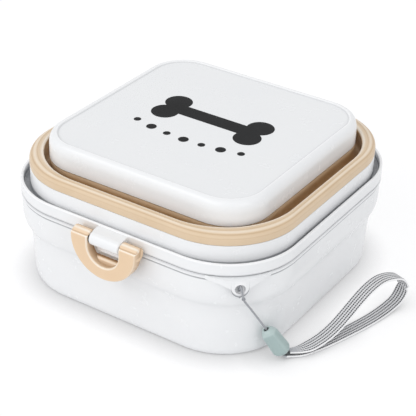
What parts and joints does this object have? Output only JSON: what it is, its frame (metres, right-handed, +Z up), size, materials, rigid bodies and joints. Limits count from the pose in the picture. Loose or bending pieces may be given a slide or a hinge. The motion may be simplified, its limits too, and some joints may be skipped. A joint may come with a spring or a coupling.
{
  "type": "collapsible pet bowl",
  "caption": "Square food tub with a hinged, latched lid whose folded silicone wall pulls out into a bowl, with a lanyard and wrist strap on a corner lug",
  "frame": {"origin": "middle of the tub's flat foot, on the surface it stands on", "axes": "+Z up, -Y towards the latch, +Y towards the hinge, +X towards the side with the lanyard's corner at its front end"},
  "size_m": [0.1807, 0.166, 0.0779],
  "materials": {
    "white_shell": "white moulded polypropylene, satin",
    "beige_silicone": "beige silicone, matt to satin",
    "clear_silicone": "pale translucent silicone seal",
    "beige_plastic": "beige moulded plastic, satin",
    "steel_pin": "drawn steel wire",
    "grey_cord": "thin twisted grey cord",
    "sage_plastic": "grey green moulded plastic",
    "grey_webbing": "grey woven webbing with stitch lines"
  },
  "bodies": {
    "tub": {"food_tub": "white_shell", "hinge_pin": "steel_pin", "lanyard_cord": "grey_cord", "cord_bead": "sage_plastic", "wrist_strap": "grey_webbing"},
    "lid": {"bowl_rim": "white_shell", "seal_ring": "clear_silicone", "fold_wall": "beige_silicone", "latch_pin": "steel_pin"},
    "bowl_bottom": {"bowl_base": "white_shell"},
    "latch": {"latch": "beige_plastic"}
  },
  "joints": [
    {"name": "lid_hinge", "type": "hinge", "parent": "tub", "child": "lid", "pos_m": [0, 0.0796, 0.04835], "axis": [-1, 0, 0], "range_deg": [0, 180]},
    {"name": "bowl_expand", "type": "slide", "parent": "lid", "child": "bowl_bottom", "axis": [0, 0, 1], "range_m": [0, 0.0186], "deforming": ["fold_wall"]},
    {"name": "latch_hinge", "type": "hinge", "parent": "lid", "child": "latch", "pos_m": [0, -0.0796, 0.0501], "axis": [-1, 0, 0], "range_deg": [0, 170]}
  ]
}
